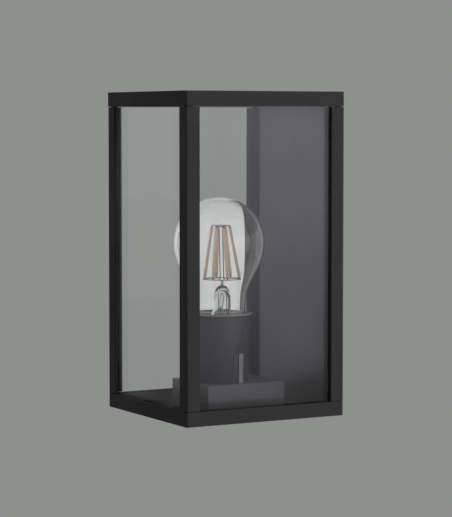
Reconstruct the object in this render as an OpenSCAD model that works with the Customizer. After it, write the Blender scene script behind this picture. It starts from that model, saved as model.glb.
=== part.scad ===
// Outdoor wall lantern: a folded steel box frame with three clear panes, a lift-off roof,
// a back pan on a hidden mounting plate, and an E27 lampholder on a bracket in the bottom tray.
// The wall is the plane y = 0, the front faces -Y, and z = 0 is the height of the wall fixings.

/* [Lantern] */
// Height from the underside of the tray to the top of the roof
lantern_h = 220; // [185:1:270]
// Width across the front
lantern_w = 117; // [110:1:150]
// Depth from the wall to the front face
lantern_d = 121; // [115:1:150]
// Height of the wall fixings above the underside
fixing_h = 110; // [90:1:130]

/* [Frame] */
// Thickness of the folded steel sheet
sheet_t = 1.5; // [1.2:0.1:1.9]
// Visible width of each leg of the corner posts
post_w = 10; // [9:0.5:14]
// Height of the roof rim
roof_h = 10; // [9.5:0.5:16]
// Height of the tray rim
tray_h = 10; // [9.5:0.5:14]
// How far the roof rim stands out past the posts
roof_overhang = 0.25; // [0:0.05:0.6]
// Open seam between a post end and the rim it stands on
seam = 0.3; // [0.2:0.05:0.6]
// Length of the tongue that joins a post to a rim
tongue_l = 6; // [4:0.5:12]
// Distance from a post's outer faces to its screws
post_screw_in = 8.4; // [7.8:0.1:9]

/* [Glass] */
// Thickness of the panes
glass_t = 3; // [2:0.1:3.6]
// Thickness of the tape and of the channel lips beside the panes
tape_t = 0.8; // [0.5:0.1:1]
// Width of the glazing tape
tape_w = 2.6; // [1.5:0.1:3]
// Free gap around a pane or a moving seal
free_gap = 0.3; // [0.3:0.05:0.5]
// Height of the rubber channel under each pane
channel_h = 5.5; // [4:0.5:6]

/* [Back] */
// Thickness of the back pan's sheet
pan_t = 1; // [0.8:0.1:1.2]
// Depth of the back pan from the wall
pan_d = 6.6; // [6:0.1:9]
// Outer radius of the pan's long bends
pan_bend_r = 2; // [1.5:0.1:3]
// Gap between the pan and the rear posts
pan_gap = 2.2; // [1:0.1:4]
// Gap between the mounting plate and the inside of the pan
plate_gap = 4.3; // [1:0.1:8]
// Distance between the two wall fixing slots
slot_spacing = 60; // [40:1:66]
// Length of each fixing slot
slot_l = 12; // [8:0.5:14]
// Width of each fixing slot
slot_w = 5; // [4:0.5:6]
// Distance between the two head screws
head_screw_spacing = 14; // [12:1:15]

/* [Cable entry] */
// Radius of the hole for the supply cable
cable_r = 3.75; // [3:0.05:4.25]
// Sideways place of the cable entry
cable_x = -20; // [-21:0.5:-19]
// Height of the cable entry above the tray's floor
cable_h = 6.5; // [6.5:0.1:7.5]

/* [Lampholder] */
// Height of the bracket that carries the lampholder
bracket_h = 21.5; // [19:0.5:26]
// Width of the bracket
bracket_w = 52.4; // [50:0.2:63]
// Length of the bracket from front to back
bracket_l = 59.5; // [58:0.5:62]
// Gap between the bracket and the wall
bracket_gap = 27.8; // [26:0.2:30]
// Distance from the wall to the axis of the bulb
lamp_y = 64.5; // [62:0.5:67]
// Outer radius of the lampholder
holder_r = 20; // [19:0.1:22]
// Wall of the lampholder's shell
holder_wall = 2.2; // [1.5:0.1:2.5]
// Height of the lampholder's shell
holder_h = 46; // [44:0.5:47]
// Height of the collar on top of the shell
collar_h = 1; // [1:0.1:3]
// How far the collar stands out past the shell
collar_out = 2.7; // [1:0.1:3]

/* [Bulb] */
// Radius of the bulb's round part
bulb_r = 31.5; // [27:0.5:34]
// Length of the bulb from its contact to its top
bulb_l = 106.5; // [104:0.5:112]
// Radius of the bulb's neck
neck_r = 18; // [15:0.1:18]
// Wall of the bulb's glass
bulb_wall = 0.8; // [0.6:0.1:1.2]
// Mean radius of the cap's screw thread
thread_r = 12.65; // [12.4:0.05:12.8]
// Half the depth of the screw thread
thread_a = 0.45; // [0.3:0.05:0.5]
// Rise of the thread in one turn
pitch = 3.629; // [3.4:0.001:3.8]
// Gap between the cap's thread and the lampholder's
thread_gap = 0.28; // [0.2:0.02:0.4]
// Number of filaments
filament_count = 8; // [4:1:10]
// Length of each filament
filament_l = 37; // [30:0.5:40]

/* [Screws] */
// Radius of the small screws
screw_r = 1.5; // [1.2:0.1:1.6]
// Radius of their flush heads
head_r = 2.8; // [2.4:0.1:3]
// Height of their flush heads
head_h = 1.2; // [0.8:0.1:1.3]

/* [Hidden] */

$fn = 48;
half_w = lantern_w / 2;

// Frame
roof_z = lantern_h - roof_h;          // underside of the roof rim
post_z = tray_h;                      // lower end of the posts
post_top = roof_z - seam;             // upper end of the posts
tongue_t = 1.3;                       // thickness of the tongues
tongue_leg = 6.2;                     // reach of a tongue from the post's outer faces
tab_t = 1.5;                          // thickness of the screw tabs
tab_reach = 11.6;                     // reach of the tabs from the post's outer faces
roof_in = sheet_t + free_gap;         // where a tongue stands inside the roof rim
tab_z = lantern_h - 7;                // underside of the upper tabs

// Glass
glass_in = sheet_t + tape_t;          // outer face of a pane, from the lantern's outer face
glass_edge = tongue_leg + 0.5;        // side edges of a pane, from the lantern's outer face
channel_z = sheet_t + tab_t;          // underside of the channels, on the foot tabs
glass_z = channel_z + 1.5;            // bottom edge of the panes
glass_top = tab_z - 0.5;              // top edge of the panes

// Back
pan_half = half_w - post_w - pan_gap;
plate_half = pan_half - pan_t - plate_gap;
plate_z = 4;                          // bottom of the mounting plate
hook_t = 1.5;                         // thickness of the plate and of its folds
pan_top = tab_z;                      // top face of the pan's upper flange
hook_z = pan_top - pan_t;             // top of the plate's hook
hook_d = pan_d - pan_t - 0.4;         // reach of the plate's folds
head_tab_w = 10;                      // width of each lower fold
ear_x = half_w - tongue_leg - free_gap;
ear_front = pan_d - 0.6;              // reach of the pan's ears from the wall
rivet_r = 1.2;
rivet_x = half_w - post_w + 1;        // rivets in the pan's ears
rivet_y = 4.2;
floor_rivet_x = pan_half - 10;        // rivets in the pan's foot
foot_l = 8;                           // length of the pan's foot
cable_z = sheet_t + cable_h;
grommet_r = cable_r + 1.75;           // outer radius of the grommet's flanges
grommet_neck = cable_r + 1;           // radius of its neck

// Bracket and wiring
bracket_back = -bracket_gap;
bracket_front = bracket_back - bracket_l;
foot_w = 40;                          // width of the bracket's feet
foot_in = 8;                          // length of the bracket's feet
cheek_z = sheet_t + 1;                // lower edge of the bracket's cheeks
lead_r = 1.1;
block_w = 26;
block_l = 15;
block_h = 12;
block_y = -48;                        // centre of the terminal block
pole_gap = 8;                         // distance between its poles
pole_z = sheet_t + 6;                 // height of the clamps in the block
clamp_r = 2.6;
clamp_bore = 1.5;
clamp_screw_r = 1.1;
clamp_screw_y = 3.6;                  // distance of each clamp screw from the middle
earth_x = 15;
earth_y = -74;
earth_tag_t = 0.8;
tag_l = 11;                           // length of the tag from its screw to its mouth
tag_lift = 2.2;                       // height of its barrel's middle above the floor

// Lampholder, from the bracket upwards
holder_z = bracket_h;
holder_top = holder_z + holder_h;
holder_floor = 2.5;
holder_in = holder_r - holder_wall;
core_z = holder_z + 6.5;
core_top = holder_top - 1.5;
core_r = holder_in - 0.3;
holder_screw_x = 12;
holder_screw_r = 2;
contact_z = holder_top + collar_h - 27;   // lowest point of the bulb
strip_z = contact_z - 8.3;                // underside of the contact strips
strip_t = 0.8;
socket_z = contact_z - 2.3;               // floor of the socket in the core
wire_x = 5;                               // where the leads enter the core
tongue_angle = 14;                        // direction of the release tongue
tongue_w = 9.4;
tongue_h = 20;
tongue_slit = 0.35;                       // gap beside the tongue
rib_angle = 17;                           // direction of the grip rib on it
rib_w = 4.2;
rib_out = 0.9;

// Threads: columns round the axis and rings in each turn
thread_columns = 30;
thread_rings = 9;
sleeve_t = 0.4;
sleeve_z = contact_z + 4.5;
sleeve_top = contact_z + 20.5;
cap_z = contact_z + 2.7;
cap_top = contact_z + 25;
cap_rim_r = thread_r + thread_a + 0.2;

// Bulb glass, above the contact
ball_z = contact_z + bulb_l - bulb_r;
neck_z = contact_z + 28.5;
curve_z = contact_z + 34.5;
neck_in_r = cap_rim_r - 0.7;
stem_r = 5.7;
stem_top = contact_z + 46;
wire_gap = 1.2;
cage_top = contact_z + 87.3;
cage_r = 6.6;
cage_low_r = 13.2;
filament_tilt = asin((cage_low_r - cage_r) / filament_l);
cage_low = cage_top - filament_l * cos(filament_tilt);
filament_w = 1.9;
filament_t = 0.8;
filament_start = 27;

screw_gap = 0.05;

black = "#29292b";
soft_black = "#1c1c1d";
brass = "#b08d4a";
steel = "#b9bbbe";

// ---- helpers ----

// Puts a part drawn from the underside into the lantern's frame
module hang() { translate([0, 0, -fixing_h]) children(); }

// Moves to the axis of the bulb and the lampholder
module at_lamp() { translate([0, -lamp_y, 0]) children(); }

// Moves to a vertical corner, with +X and +Y pointing into the lantern
module at_corner(side, rear) {
  translate([side * half_w, rear ? 0 : -lantern_d, 0])
    mirror([side > 0 ? 1 : 0, 0, 0])
      mirror([0, rear ? 1 : 0, 0])
        children();
}

module at_corners() {
  for (side = [-1, 1], rear = [false, true]) at_corner(side, rear) children();
}

// Outline of a folded rim with round vertical bends, grown by out on three sides
module rim_outline(out) {
  w = lantern_w + 2 * out;
  d = lantern_d + out;
  r = sheet_t + out;
  translate([-w / 2 + r, -d]) square([w - 2 * r, d]);
  translate([-w / 2, -d + r]) square([w, d - 2 * r]);
  for (x = [-w / 2 + r, w / 2 - r], y = [-d + r, -r]) translate([x, y]) circle(r);
}

// Screw with a flush head, its face at z = 0 and its point down
module flush_screw(length) {
  difference() {
    union() {
      translate([0, 0, -head_h]) cylinder(h = head_h, r1 = screw_r, r2 = head_r);
      translate([0, 0, -length]) cylinder(h = length - head_h, r = screw_r);
    }
    translate([0, 0, -0.9]) cylinder(h = 1.5, r = 1.1, $fn = 6);
  }
}

// Hole for a flush screw, entered from z = 0
module flush_hole() {
  translate([0, 0, -head_h - screw_gap])
    cylinder(h = head_h + screw_gap, r1 = screw_r + screw_gap, r2 = head_r + 2 * screw_gap);
  translate([0, 0, -20]) cylinder(h = 25, r = screw_r + screw_gap);
}

// L of two upright walls between two reaches from a corner
module corner_wall(from, leg, z, top) {
  translate([from, from, z]) cube([tongue_t, leg - from, top - z]);
  translate([from, from, z]) cube([leg - from, tongue_t, top - z]);
}

// Ring of points at height z: radius r, waved by depth a along the thread's helix
function ring(r, a, z) = [for (i = [0 : thread_columns - 1])
  let (t = 360 * i / thread_columns, rr = r + a * cos(t - 360 * z / pitch))
  [rr * cos(t), rr * sin(t), z]];

// Closed solid between rings that follow each other round a loop of [radius, depth, height]
module ring_solid(rows) {
  n = thread_columns;
  m = len(rows);
  points = [for (row = rows) each ring(row[0], row[1], row[2])];
  faces = [for (k = [0 : m - 1], i = [0 : n - 1])
    let (a = k * n + i, b = k * n + (i + 1) % n,
         c = ((k + 1) % m) * n + (i + 1) % n, d = ((k + 1) % m) * n + i)
    each [[a, d, c], [a, c, b]]];
  polyhedron(points, faces, convexity = 10);
}

// Heights of the rings between two ends, thread_rings to a turn
function ring_heights(low, high) =
  let (count = ceil((high - low) / pitch * thread_rings))
  [for (i = [0 : count]) low + (high - low) * i / count];

function reversed(list) = [for (i = [len(list) - 1 : -1 : 0]) list[i]];

// Round wire swept along a list of points, never running along X
function along(p, i) =
  let (d = p[min(i + 1, len(p) - 1)] - p[max(i - 1, 0)]) d / norm(d);

module wire(points_list, r) {
  sides = 8;
  n = len(points_list);
  points = [for (i = [0 : n - 1])
    let (t = along(points_list, i), c = cross(t, [1, 0, 0]), u = c / norm(c), v = cross(t, u))
    each [for (s = [0 : sides - 1])
      points_list[i] + r * (cos(360 * s / sides) * u + sin(360 * s / sides) * v)]];
  walls = [for (i = [0 : n - 2], s = [0 : sides - 1])
    let (a = i * sides + s, b = i * sides + (s + 1) % sides)
    each [[a, a + sides, b + sides], [a, b + sides, b]]];
  first = [for (s = [0 : sides - 1]) s];
  last = [for (s = [sides - 1 : -1 : 0]) (n - 1) * sides + s];
  polyhedron(points, concat(walls, [first], [last]), convexity = 10);
}

// Point of a smooth curve between a and d, pulled towards b and c
function bezier(a, b, c, d, t) =
  pow(1 - t, 3) * a + 3 * pow(1 - t, 2) * t * b + 3 * (1 - t) * t * t * c + t * t * t * d;

// ---- behind the lantern ----

module mounting_plate() {
  color(steel) difference() {
    union() {
      translate([-plate_half, -hook_t, plate_z])
        cube([2 * plate_half, hook_t, hook_z - plate_z]);
      translate([-plate_half, -hook_d, hook_z - hook_t]) cube([2 * plate_half, hook_d, hook_t]);
      for (side = [-1, 1])
        translate([side * head_screw_spacing / 2 - head_tab_w / 2, -hook_d, plate_z])
          cube([head_tab_w, hook_d, hook_t]);
    }
    for (side = [-1, 1]) {
      translate([side * slot_spacing / 2, 0, fixing_h]) fixing_slot();
      translate([side * head_screw_spacing / 2, -hook_d + 1.8, 0])
        cylinder(h = 12, r = screw_r + screw_gap);
    }
    translate([cable_x, 1, cable_z]) rotate([90, 0, 0]) cylinder(h = 4, r = grommet_r + 0.5);
    translate([cable_x - grommet_r - 0.5, -3, 0])
      cube([2 * grommet_r + 1, 4, cable_z]);
  }
}

module fixing_slot() {
  run = (slot_l - slot_w) / 2;
  for (x = [-run, run]) translate([x, 1, 0]) rotate([90, 0, 0]) cylinder(h = 4, r = slot_w / 2);
  translate([-run, -3, -slot_w / 2]) cube([2 * run, 4, slot_w]);
}

module back_pan() {
  color(black) difference() {
    union() {
      translate([0, 0, sheet_t]) linear_extrude(pan_top - pan_t - sheet_t) pan_outline();
      translate([-pan_half + pan_bend_r, -pan_d, pan_top - pan_t])
        cube([2 * (pan_half - pan_bend_r), pan_d, pan_t]);
      translate([-ear_x, -ear_front, pan_top - pan_t])
        cube([2 * ear_x, ear_front - sheet_t - free_gap, pan_t]);
      translate([-pan_half + pan_bend_r, -pan_d - foot_l, sheet_t])
        cube([2 * (pan_half - pan_bend_r), foot_l + pan_t, pan_t]);
    }
    for (side = [-1, 1]) {
      translate([side * rivet_x, -rivet_y, pan_top - 3]) cylinder(h = 6, r = rivet_r + screw_gap);
      translate([side * floor_rivet_x, -pan_d - foot_l / 2, 0])
        cylinder(h = 6, r = rivet_r + screw_gap);
    }
    translate([cable_x, 0, cable_z]) rotate([90, 0, 0]) cylinder(h = 12, r = grommet_neck);
  }
}

// Plan of the pan: a front wall and two sides joined by round bends
module pan_outline() {
  translate([-pan_half + pan_bend_r, -pan_d]) square([2 * (pan_half - pan_bend_r), pan_t]);
  for (side = [0, 1]) mirror([side, 0]) {
    translate([pan_half - pan_t, -pan_d + pan_bend_r]) square([pan_t, pan_d - pan_bend_r]);
    intersection() {
      translate([pan_half - pan_bend_r, -pan_d + pan_bend_r]) difference() {
        circle(pan_bend_r);
        circle(pan_bend_r - pan_t);
      }
      translate([pan_half - pan_bend_r, -pan_d]) square([pan_bend_r, pan_bend_r]);
    }
  }
}

// Domed rivets, two in the pan's ears and two in its foot
module pan_rivets() {
  color(steel) for (side = [-1, 1]) {
    translate([side * rivet_x, -rivet_y, pan_top - pan_t]) rivet(pan_t + tab_t);
    translate([side * floor_rivet_x, -pan_d - foot_l / 2, 0]) rivet(sheet_t + pan_t);
  }
}

module rivet(grip) {
  cylinder(h = grip, r = rivet_r);
  translate([0, 0, grip]) cylinder(h = 0.9, r1 = 2.2, r2 = 1.4);
}

// Rubber grommet: a flange on each side of the pan and a groove between them
module cable_grommet() {
  color(soft_black) translate([cable_x, -pan_d + pan_t / 2, cable_z]) rotate([90, 0, 0])
    rotate_extrude() polygon([
      [cable_r, -3], [grommet_neck + 0.3, -3], [grommet_r, -1.5], [grommet_r, -pan_t / 2],
      [grommet_neck, -pan_t / 2], [grommet_neck, pan_t / 2], [grommet_r, pan_t / 2],
      [grommet_r, 1.5], [grommet_neck + 0.3, 3], [cable_r, 3]]);
}

// Two flush screws from under the tray into the mounting plate
module head_screws() {
  color(soft_black) for (side = [-1, 1])
    translate([side * head_screw_spacing / 2, -hook_d + 1.8, 0])
      mirror([0, 0, 1]) flush_screw(plate_z + hook_t + 0.5);
}

// ---- frame ----

module bottom_tray() {
  color(black) difference() {
    linear_extrude(tray_h - seam) rim_outline(0);
    translate([-half_w + sheet_t, -lantern_d + sheet_t, sheet_t])
      cube([lantern_w - 2 * sheet_t, lantern_d - 2 * sheet_t, tray_h]);
    translate([-half_w + post_w, -sheet_t - 1, sheet_t])
      cube([lantern_w - 2 * post_w, sheet_t + 2, tray_h]);
    at_corners() translate([post_screw_in, post_screw_in, 0]) mirror([0, 0, 1]) flush_hole();
    for (side = [-1, 1]) {
      translate([side * head_screw_spacing / 2, -hook_d + 1.8, 0])
        mirror([0, 0, 1]) flush_hole();
      translate([side * floor_rivet_x, -pan_d - foot_l / 2, -1])
        cylinder(h = 4, r = rivet_r + screw_gap);
      translate([side * 32, -lantern_d / 2, -1]) cylinder(h = 4, r = 2);
    }
    at_bracket_screws() mirror([0, 0, 1]) flush_hole();
    translate([0, block_y, 0]) mirror([0, 0, 1]) flush_hole();
    translate([earth_x, earth_y, -1]) cylinder(h = 4, r = holder_screw_r + screw_gap);
  }
}

// Corner post: two legs, a tongue and a screw tab at each end
module post() {
  color(black) difference() {
    union() {
      translate([0, 0, post_z]) linear_extrude(post_top - post_z) post_outline();
      corner_wall(sheet_t, tongue_leg, sheet_t, post_z + tongue_l);
      corner_wall(sheet_t, tongue_leg, post_top - tongue_l, post_top);
      corner_wall(roof_in, tongue_leg, post_top - 1, tab_z);
      translate([sheet_t, sheet_t, sheet_t])
        cube([tab_reach - sheet_t, tab_reach - sheet_t, tab_t]);
      translate([roof_in, roof_in, tab_z]) cube([tab_reach - roof_in, tab_reach - roof_in, tab_t]);
    }
    translate([post_screw_in, post_screw_in, sheet_t - 1])
      cylinder(h = 4, r = screw_r + screw_gap);
    translate([post_screw_in, post_screw_in, tab_z - 1]) cylinder(h = 4, r = screw_r + screw_gap);
  }
}

module post_outline() {
  translate([sheet_t, 0]) square([post_w - sheet_t, sheet_t]);
  translate([0, sheet_t]) square([sheet_t, post_w - sheet_t]);
  intersection() {
    translate([sheet_t, sheet_t]) circle(sheet_t);
    square(sheet_t);
  }
}

module post_front_left() { at_corner(-1, false) post(); }
module post_front_right() { at_corner(1, false) post(); }
module post_rear_left() { at_corner(-1, true) rear_post(); }
module post_rear_right() { at_corner(1, true) rear_post(); }

// A rear post also takes the rivet of the pan's ear
module rear_post() {
  color(black) difference() {
    post();
    translate([half_w - rivet_x, rivet_y, tab_z - 1]) cylinder(h = 4, r = rivet_r + screw_gap);
  }
}

// Four flush screws from under the tray into the posts' foot tabs
module post_screws() {
  color(soft_black) at_corners() translate([post_screw_in, post_screw_in, 0])
    mirror([0, 0, 1]) flush_screw(sheet_t + tab_t + 0.8);
}

// ---- glazing ----

module glass_front() {
  color("lightblue", 0.3)
    translate([-half_w + glass_edge, -lantern_d + glass_in, glass_z])
      cube([lantern_w - 2 * glass_edge, glass_t, glass_top - glass_z]);
}

module side_glass(side) {
  color("lightblue", 0.3) at_corner(side, false) translate([glass_in, glass_edge, glass_z])
    cube([glass_t, lantern_d - 2 * glass_edge, glass_top - glass_z]);
}

module glass_left() { side_glass(-1); }
module glass_right() { side_glass(1); }

// Rubber channel under a pane, standing on the posts' foot tabs
module channel(length) {
  width = glass_t + 2 * tape_t;
  difference() {
    cube([length, width, channel_h]);
    translate([-1, tape_t, glass_z - channel_z]) cube([length + 2, glass_t, channel_h]);
  }
}

module glass_channels() {
  color(soft_black) {
    translate([-half_w + glass_edge, -lantern_d + sheet_t, channel_z])
      channel(lantern_w - 2 * glass_edge);
    for (side = [-1, 1]) at_corner(side, false)
      translate([sheet_t, lantern_d - glass_edge, channel_z]) rotate(-90)
        channel(lantern_d - 2 * glass_edge);
  }
}

// Two tapes for each pane, between the pane and the post's legs
module glazing_tapes() {
  low = post_z + tongue_l + 0.5;
  high = post_top - tongue_l - 0.5;
  color(soft_black) {
    for (side = [-1, 1]) at_corner(side, false)
      translate([glass_edge + 0.2, sheet_t, low]) cube([tape_w, tape_t, high - low]);
    for (side = [-1, 1], rear = [false, true]) at_corner(side, rear)
      translate([sheet_t, glass_edge + 0.2, low]) cube([tape_t, tape_w, high - low]);
  }
}

// ---- bracket and wiring ----

module at_bracket_screws() {
  for (x = [-14, 14], y = [bracket_front + sheet_t + 4, bracket_back - sheet_t - 4])
    translate([x, y, 0]) children();
}

// Folded bracket: a top plate, front and rear legs with feet, and a cheek on each side
module lamp_bracket() {
  half = bracket_w / 2;
  color(black) difference() {
    union() {
      translate([-half, bracket_front, bracket_h - sheet_t]) cube([bracket_w, bracket_l, sheet_t]);
      for (y = [bracket_front, bracket_back - sheet_t])
        translate([-half, y, sheet_t]) cube([bracket_w, sheet_t, bracket_h - sheet_t]);
      for (x = [-half, half - sheet_t])
        translate([x, bracket_front, cheek_z]) cube([sheet_t, bracket_l, bracket_h - cheek_z]);
      for (y = [bracket_front, bracket_back - foot_in])
        translate([-foot_w / 2, y, sheet_t]) cube([foot_w, foot_in, sheet_t]);
    }
    at_bracket_screws() cylinder(h = 6, r = screw_r + screw_gap);
    at_lamp() {
      translate([0, 0, bracket_h - 4]) cylinder(h = 6, r = 7);
      for (x = [-holder_screw_x, holder_screw_x])
        translate([x, 0, bracket_h - 4]) cylinder(h = 6, r = holder_screw_r + screw_gap);
    }
    translate([cable_x, bracket_back + 1, cable_z]) rotate([90, 0, 0])
      cylinder(h = sheet_t + 2, r = grommet_neck);
  }
}

// Four flush screws from under the tray into the bracket's feet
module bracket_screws() {
  color(soft_black) at_bracket_screws() mirror([0, 0, 1]) flush_screw(2 * sheet_t + 0.8);
}

// Three-way block with a through chamber and two screw wells for each pole
module terminal_block() {
  color("whitesmoke") difference() {
    translate([-block_w / 2, block_y - block_l / 2, sheet_t]) cube([block_w, block_l, block_h]);
    for (x = [-pole_gap, 0, pole_gap]) {
      translate([x, block_y + block_l, pole_z]) rotate([90, 0, 0])
        cylinder(h = 2 * block_l, r = clamp_r + screw_gap);
      for (y = [-clamp_screw_y, clamp_screw_y])
        translate([x, block_y + y, pole_z]) cylinder(h = block_h, r = 1.7);
    }
    translate([0, block_y, sheet_t - 1]) cylinder(h = 2.6, r = screw_r + screw_gap);
  }
}

module terminal_inserts() {
  color(brass) for (x = [-pole_gap, 0, pole_gap]) difference() {
    translate([x, block_y + block_l / 2 - 0.8, pole_z]) rotate([90, 0, 0])
      cylinder(h = block_l - 1.6, r = clamp_r);
    translate([x, block_y + block_l, pole_z]) rotate([90, 0, 0])
      cylinder(h = 2 * block_l, r = clamp_bore);
    for (y = [-clamp_screw_y, clamp_screw_y])
      translate([x, block_y + y, pole_z]) cylinder(h = block_h, r = clamp_screw_r + screw_gap);
  }
}

module terminal_screws() {
  color(steel) for (x = [-pole_gap, 0, pole_gap], y = [-clamp_screw_y, clamp_screw_y])
    translate([x, block_y + y, pole_z + lead_r + 0.1]) difference() {
      cylinder(h = 4, r = clamp_screw_r);
      translate([-2, -0.2, 3.4]) cube([4, 0.4, 1]);
    }
}

// Flush screw from under the tray into the terminal block
module terminal_fixing() {
  color(soft_black) translate([0, block_y, 0]) mirror([0, 0, 1]) flush_screw(sheet_t + 1.4);
}

// Slotted earth screw through its tag into the tray's floor
module earth_screw() {
  color(brass) translate([earth_x, earth_y, sheet_t + earth_tag_t]) difference() {
    union() {
      cylinder(h = 2.4, r = 3.4);
      translate([0, 0, -sheet_t - earth_tag_t + 0.2])
        cylinder(h = sheet_t + earth_tag_t, r = holder_screw_r);
    }
    translate([-4, -0.4, 1.6]) cube([8, 0.8, 2]);
  }
}

// Ring tag with a crimped barrel for the earth lead
module earth_tag() {
  color(steel) translate([earth_x, earth_y, sheet_t]) difference() {
    union() {
      cylinder(h = earth_tag_t, r = 4);
      translate([-1.5, 2, 0]) cube([3, 5, earth_tag_t]);
      translate([0, tag_l, tag_lift]) rotate([90, 0, 0]) cylinder(h = 5, r = 1.8);
    }
    translate([0, 0, -1]) cylinder(h = 3, r = holder_screw_r + screw_gap);
    translate([0, tag_l + 1, tag_lift]) rotate([90, 0, 0])
      cylinder(h = 5, r = lead_r + screw_gap);
  }
}

// Smooth bend of a lead between two points, leaving and arriving in the given directions
function bend(a, from, to, b) = [for (i = [0 : 6]) bezier(a, a + from, b - to, b, i / 6)];

// Route of a lead from its clamp, up through the bracket, to a contact strip
function core_route(x, end_x) = concat(
  [[x, block_y - 2, pole_z]],
  bend([x, block_y - 6, pole_z], [0, -7, 0], [0, 0, 10], [end_x, -lamp_y, bracket_h - sheet_t]),
  [[end_x, -lamp_y, bracket_h + 2], [end_x, -lamp_y, strip_z - 0.2]]);

live_route = core_route(-pole_gap, -wire_x);
neutral_route = core_route(0, wire_x);
earth_lead_z = sheet_t + tag_lift;
earth_route = concat(
  [[pole_gap, block_y - 2, pole_z]],
  bend([pole_gap, block_y - 6, pole_z], [0, -5, 0], [0, -3, 0],
       [earth_x, earth_y + tag_l + 1, earth_lead_z]),
  [[earth_x, earth_y + tag_l - 4, earth_lead_z]]);

module lead_live() { color("saddlebrown") wire(live_route, lead_r); }
module lead_neutral() { color("steelblue") wire(neutral_route, lead_r); }
module lead_earth() { color("yellowgreen") wire(earth_route, lead_r); }

// ---- lampholder ----

module lampholder_shell() {
  color(black) at_lamp() difference() {
    union() {
      translate([0, 0, holder_z]) cylinder(h = holder_h, r = holder_r);
      rotate(rib_angle) translate([holder_r - 1, -rib_w / 2, holder_z])
        cube([1 + rib_out, rib_w, tongue_h]);
    }
    difference() {
      translate([0, 0, holder_z + holder_floor]) cylinder(h = holder_h, r = holder_in);
      for (x = [-holder_screw_x, holder_screw_x])
        translate([x, 0, holder_z]) cylinder(h = core_z - holder_z, r = 3.8);
    }
    translate([0, 0, holder_z - 1]) cylinder(h = 6, r = 7.5);
    for (x = [-holder_screw_x, holder_screw_x])
      translate([x, 0, holder_z - 1]) cylinder(h = 12, r = holder_screw_r + screw_gap);
    rotate(tongue_angle) {
      translate([holder_r - 0.9, -tongue_w / 2 - tongue_slit, holder_z + tongue_h])
        cube([3, tongue_w + 2 * tongue_slit, 0.7]);
      for (y = [-tongue_w / 2 - tongue_slit, tongue_w / 2])
        translate([holder_r - 1.6, y, holder_z + 1]) cube([3, tongue_slit, tongue_h - 0.3]);
    }
  }
}

// Collar on the shell: a skirt inside holds the core down
module lampholder_collar() {
  skirt_r = holder_in - 0.3;
  opening_r = neck_r - 0.9;
  color(soft_black) at_lamp() rotate_extrude() polygon([
    [cap_rim_r + 1.2, core_top], [skirt_r, core_top], [skirt_r, holder_top],
    [holder_r + collar_out, holder_top], [holder_r + collar_out, holder_top + collar_h - 0.5],
    [holder_r + collar_out - 0.5, holder_top + collar_h], [opening_r, holder_top + collar_h],
    [opening_r, holder_top + 0.6], [cap_rim_r + 1.2, core_top + 0.8]]);
}

// Ceramic core: a deep socket above, wiring slots below
module lampholder_core() {
  well_r = thread_r + thread_gap + sleeve_t + thread_a + 0.32;
  color("ivory") at_lamp() difference() {
    translate([0, 0, core_z]) cylinder(h = core_top - core_z, r = core_r);
    translate([0, 0, socket_z]) cylinder(h = 40, r = well_r);
    translate([-8, -2.4, core_z - 1]) cube([10.4, 4.8, strip_z + strip_t + 1.2 - core_z]);
    translate([0, 0, core_z]) cylinder(h = 20, r = 1.5);
    translate([3.2, -2.4, core_z - 1]) cube([10.8, 4.8, strip_z + strip_t + 1.2 - core_z]);
    translate([12.6, -2.4, strip_z]) cube([1.4, 4.8, socket_z - strip_z + 1]);
    for (x = [-holder_screw_x, holder_screw_x])
      translate([x, 0, core_z - 1]) cylinder(h = 4, r = holder_screw_r + screw_gap);
  }
}

// Two pan-head screws from under the bracket into the shell and the core
module lampholder_screws() {
  color(steel) at_lamp() for (x = [-holder_screw_x, holder_screw_x]) {
    translate([x, 0, bracket_h - sheet_t]) cylinder(h = 9.5, r = holder_screw_r);
    translate([x, 0, bracket_h - sheet_t - 2.4]) difference() {
      cylinder(h = 2.4, r = 3.5);
      translate([0, 0, -1]) cylinder(h = 2.4, r = 1.5, $fn = 6);
    }
  }
}

// Pressed sleeve with the E27 thread, a constant gap outside the cap's thread
module thread_sleeve() {
  inner = thread_r + thread_gap;
  low = sleeve_z + 0.8;
  high = sleeve_top - 0.8;
  heights = ring_heights(low, high);
  color(brass) at_lamp() ring_solid(concat(
    [[inner + thread_a + sleeve_t, 0, sleeve_z]],
    [for (z = heights) [inner + sleeve_t, thread_a, z]],
    [[inner + thread_a + sleeve_t, 0, sleeve_top], [inner + thread_a, 0, sleeve_top]],
    [for (z = reversed(heights)) [inner, thread_a, z]],
    [[inner + thread_a, 0, sleeve_z]]));
}

// Springy tongue under the bulb, on the live lead
module centre_contact() {
  color(brass) at_lamp() {
    translate([-wire_x - 2, -2, strip_z]) cube([wire_x + 3.5, 4, strip_t]);
    translate([0, 0, strip_z]) cylinder(h = socket_z - strip_z + 0.2, r = 1.2);
    translate([0, 0, socket_z + 0.1]) cylinder(h = 0.8, r = 3);
    translate([0, 0, socket_z + 0.9])
      cylinder(h = contact_z - free_gap - socket_z - 0.9, r1 = 3, r2 = 1.6);
  }
}

// Strip from the neutral lead up to the thread sleeve
module side_contact() {
  strip_x = thread_r + thread_gap + thread_a + sleeve_t - 0.7;
  color(brass) at_lamp() {
    translate([wire_x - 1.2, -2, strip_z]) cube([strip_x + 0.6 - wire_x + 1.2, 4, strip_t]);
    translate([strip_x, -2, strip_z]) cube([0.6, 4, sleeve_z - strip_z]);
  }
}

// ---- roof ----

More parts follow.
